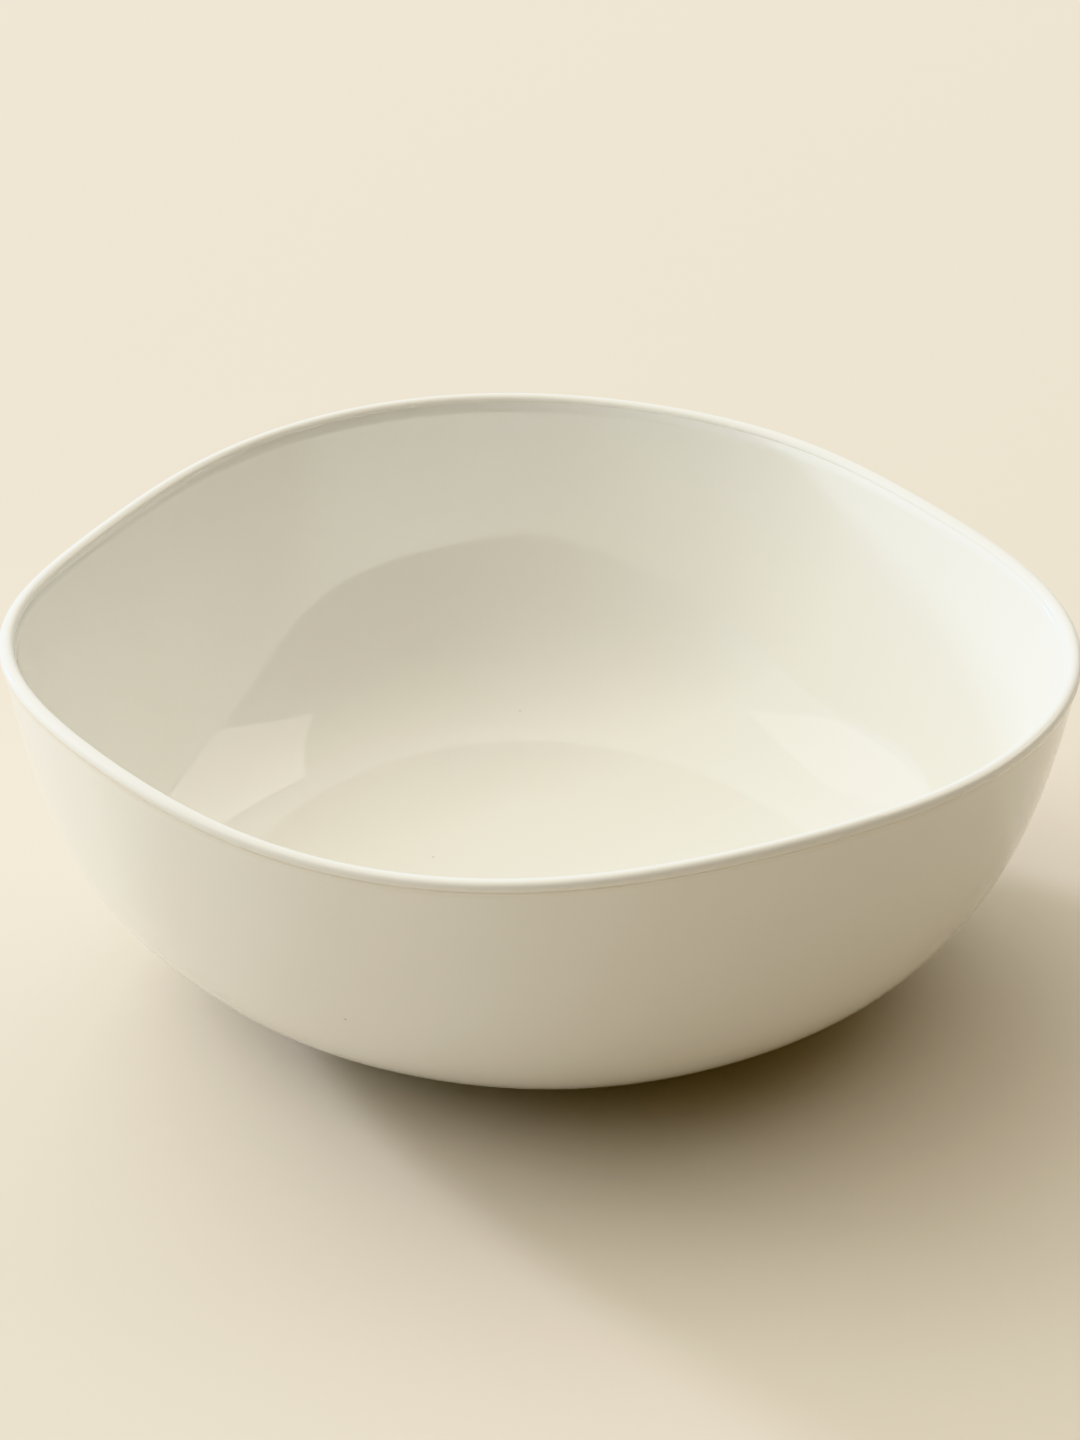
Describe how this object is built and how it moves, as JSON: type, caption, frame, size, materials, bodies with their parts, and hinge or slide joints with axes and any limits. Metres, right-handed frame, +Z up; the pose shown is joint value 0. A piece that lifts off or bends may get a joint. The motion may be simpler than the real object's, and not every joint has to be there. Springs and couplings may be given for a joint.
{
  "type": "porcelain serving bowl",
  "caption": "Deep white porcelain serving bowl with a soft square plan, a gently waved rolled rim and a low bare foot ring.",
  "frame": {"origin": "centre of the foot ring on the table plane", "axes": "+Z up, out of the bowl's mouth; +X to the right corner and +Y to the back corner of the soft square plan"},
  "size_m": [0.2094, 0.2, 0.0743],
  "materials": {
    "porcelain": "fired white porcelain, covered by the glaze",
    "bare_foot": "unglazed biscuit, fine matte",
    "outer_glaze": "clear gloss glaze, warm white",
    "inner_glaze": "clear gloss glaze, warm white",
    "underside_glaze": "clear gloss glaze, warm white"
  },
  "bodies": {
    "root": {"porcelain_body": "porcelain", "foot_ring": "bare_foot", "outer_glaze": "outer_glaze", "inner_glaze": "inner_glaze", "underside_glaze": "underside_glaze"}
  },
  "joints": []
}
